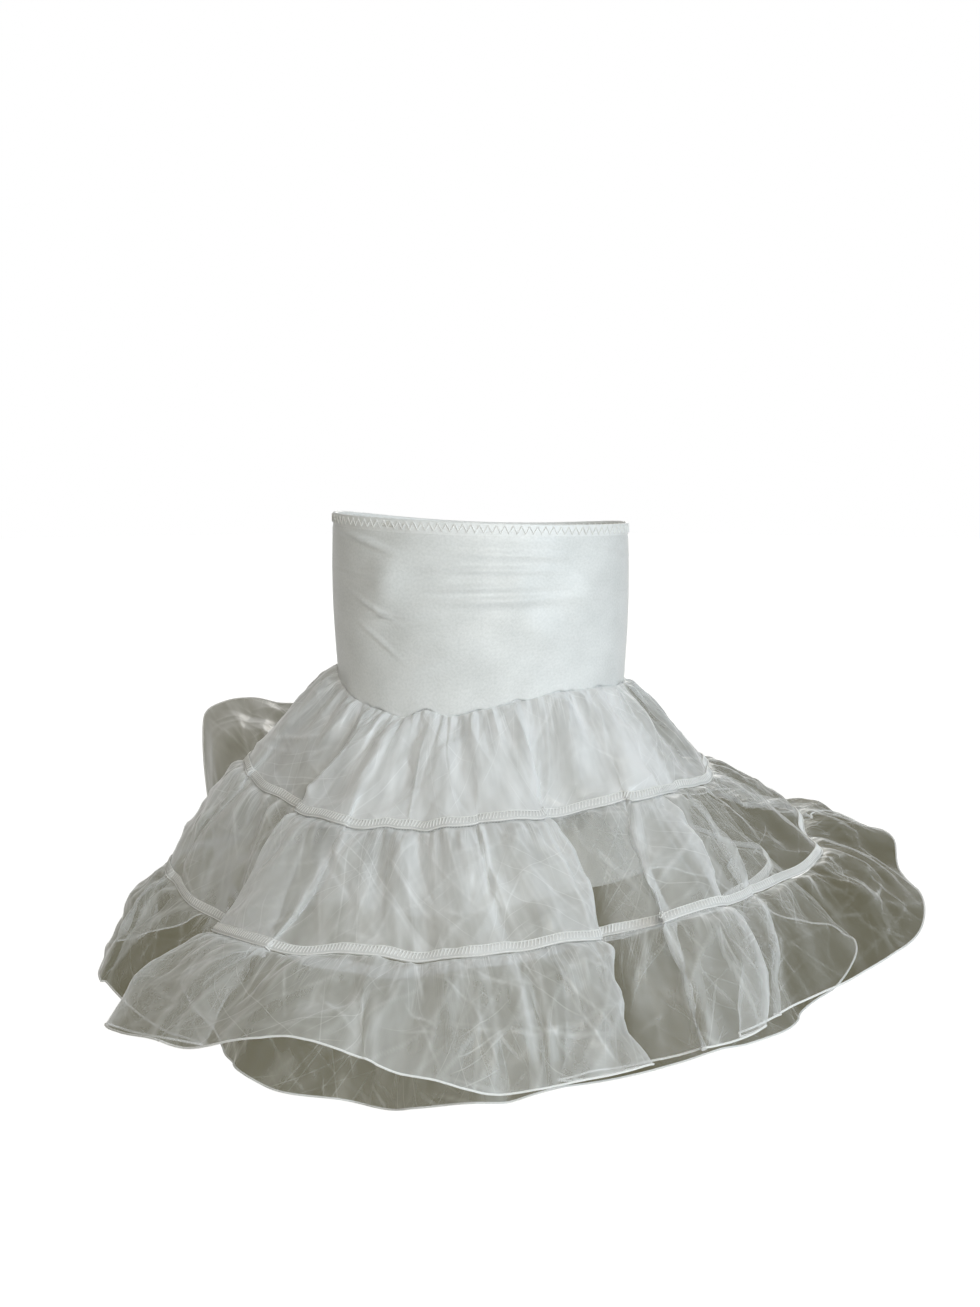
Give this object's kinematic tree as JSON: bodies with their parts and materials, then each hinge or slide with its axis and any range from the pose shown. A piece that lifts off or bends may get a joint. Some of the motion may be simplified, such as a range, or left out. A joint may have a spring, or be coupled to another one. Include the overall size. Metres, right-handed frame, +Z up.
{
  "type": "tiered petticoat skirt",
  "caption": "Gathered organza petticoat in tiers on a smooth stretch satin yoke, worn under a full skirt to hold it out.",
  "frame": {"origin": "centre of the waist opening at its upper edge, where the body holds the skirt", "axes": "+Z up along the wearer's body, +X to the skirt's right side in the picture, -Y towards the viewer, the front of the skirt"},
  "size_m": [0.9548, 0.9613, 0.5927],
  "materials": {
    "satin": "smooth stretch satin with a soft sheen",
    "elastic": "flat braided elastic",
    "lining": "plain opaque lining cloth",
    "organza": "stiff sheer organza",
    "tape": "narrow ribbed tape and rolled edging"
  },
  "bodies": {
    "root": {"yoke": "satin", "waist_elastic": "elastic", "lining": "lining", "outer_upper_tier": "organza", "outer_middle_tier": "organza", "outer_lower_tier": "organza", "outer_upper_tape": "tape", "outer_lower_tape": "tape", "outer_hem": "tape", "inner_upper_tier": "organza", "inner_middle_tier": "organza", "inner_lower_tier": "organza", "inner_upper_tape": "tape", "inner_lower_tape": "tape", "inner_hem": "tape"}
  },
  "joints": []
}
